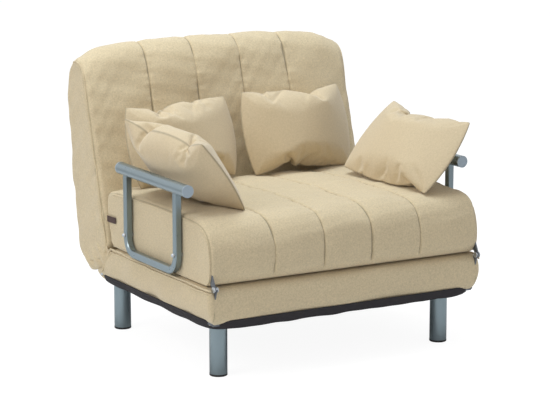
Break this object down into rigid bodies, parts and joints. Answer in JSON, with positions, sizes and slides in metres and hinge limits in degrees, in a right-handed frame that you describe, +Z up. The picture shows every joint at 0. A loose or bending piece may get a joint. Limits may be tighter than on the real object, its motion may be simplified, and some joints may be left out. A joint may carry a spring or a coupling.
{
  "type": "convertible chair bed",
  "caption": "Upholstered chair bed on tube legs: the seat folds forward, the backrest reclines flat on ratchets, with metal armrests and loose pillows.",
  "frame": {"origin": "on the floor, under the middle of the part's bounding box as the picture shows it", "axes": "+X to the viewer's right, which is the sitter's left; the sitter faces -Y; +Z up"},
  "size_m": [0.9446, 0.9044, 0.8501],
  "materials": {
    "beige_fabric": "matt woven",
    "pillow_fabric": "matt woven",
    "black_fabric": "matt",
    "tab_fabric": "matt",
    "silver_metal": "satin",
    "silver_plastic": "satin",
    "inner_metal": "satin",
    "black_plastic": "matt",
    "zinc": "satin",
    "beech": "matt"
  },
  "bodies": {
    "base": {"base_frame": "inner_metal", "base_slats": "beech", "front_left_leg": "silver_metal", "front_right_leg": "silver_metal", "rear_left_leg": "silver_metal", "rear_right_leg": "silver_metal", "leg_feet": "black_plastic", "leg_plates": "inner_metal", "leg_bolts": "zinc", "dust_cover": "black_fabric", "base_mattress": "beige_fabric", "base_hinge_plate_left": "inner_metal", "base_hinge_plate_right": "inner_metal", "front_hinge_pins": "zinc", "ratchet_sector_left": "inner_metal", "ratchet_sector_right": "inner_metal", "recline_pins": "zinc"},
    "seat": {"seat_frame": "inner_metal", "seat_slats": "beech", "seat_cushion": "beige_fabric", "sleeping_pad": "beige_fabric", "seat_hinge_plate_left": "inner_metal", "seat_hinge_plate_right": "inner_metal", "left_arm_loop": "silver_metal", "right_arm_loop": "silver_metal", "left_arm_bar": "silver_metal", "right_arm_bar": "silver_metal", "arm_end_caps": "silver_plastic", "arm_bolts": "zinc", "arm_spacers": "zinc", "arm_nuts": "zinc", "side_tab": "tab_fabric"},
    "back": {"back_frame": "inner_metal", "back_slats": "beech", "back_mattress": "beige_fabric", "rear_panel": "black_fabric", "ratchet_arm_left": "inner_metal", "ratchet_arm_right": "inner_metal", "ratchet_pawl_left": "inner_metal", "ratchet_pawl_right": "inner_metal", "pawl_rivets": "zinc", "pawl_springs": "inner_metal", "leg_ears": "inner_metal"},
    "rear_leg": {"folding_rear_leg": "inner_metal", "rear_leg_sleeves": "black_plastic", "rear_leg_pins": "zinc"},
    "back_pillow_left": {"back_pillow_left": "pillow_fabric"},
    "back_pillow_right": {"back_pillow_right": "pillow_fabric"},
    "arm_pillow_left": {"arm_pillow_left": "pillow_fabric"},
    "arm_pillow_right": {"arm_pillow_right": "pillow_fabric"}
  },
  "joints": [
    {"name": "seat_flip", "type": "hinge", "parent": "base", "child": "seat", "pos_m": [0, -0.445, 0.27], "axis": [1, 0, 0], "range_deg": [0, 180]},
    {"name": "back_recline", "type": "hinge", "parent": "base", "child": "back", "pos_m": [0, 0.24677, 0.17805], "axis": [-1, 0, 0], "range_deg": [0, 74.04]},
    {"name": "rear_leg_fold", "type": "hinge", "parent": "back", "child": "rear_leg", "pos_m": [0, 0.42332, 0.68775], "axis": [1, 0, 0], "range_deg": [0, 97.8]},
    {"name": "back_pillow_left_lift", "type": "slide", "parent": "seat", "child": "back_pillow_left", "axis": [0, 0, 1], "range_m": [0, 0.45]},
    {"name": "back_pillow_right_lift", "type": "slide", "parent": "seat", "child": "back_pillow_right", "axis": [0, 0, 1], "range_m": [0, 0.45]},
    {"name": "arm_pillow_left_lift", "type": "slide", "parent": "seat", "child": "arm_pillow_left", "axis": [0, 0, 1], "range_m": [0, 0.45]},
    {"name": "arm_pillow_right_lift", "type": "slide", "parent": "seat", "child": "arm_pillow_right", "axis": [0, 0, 1], "range_m": [0, 0.45]}
  ]
}
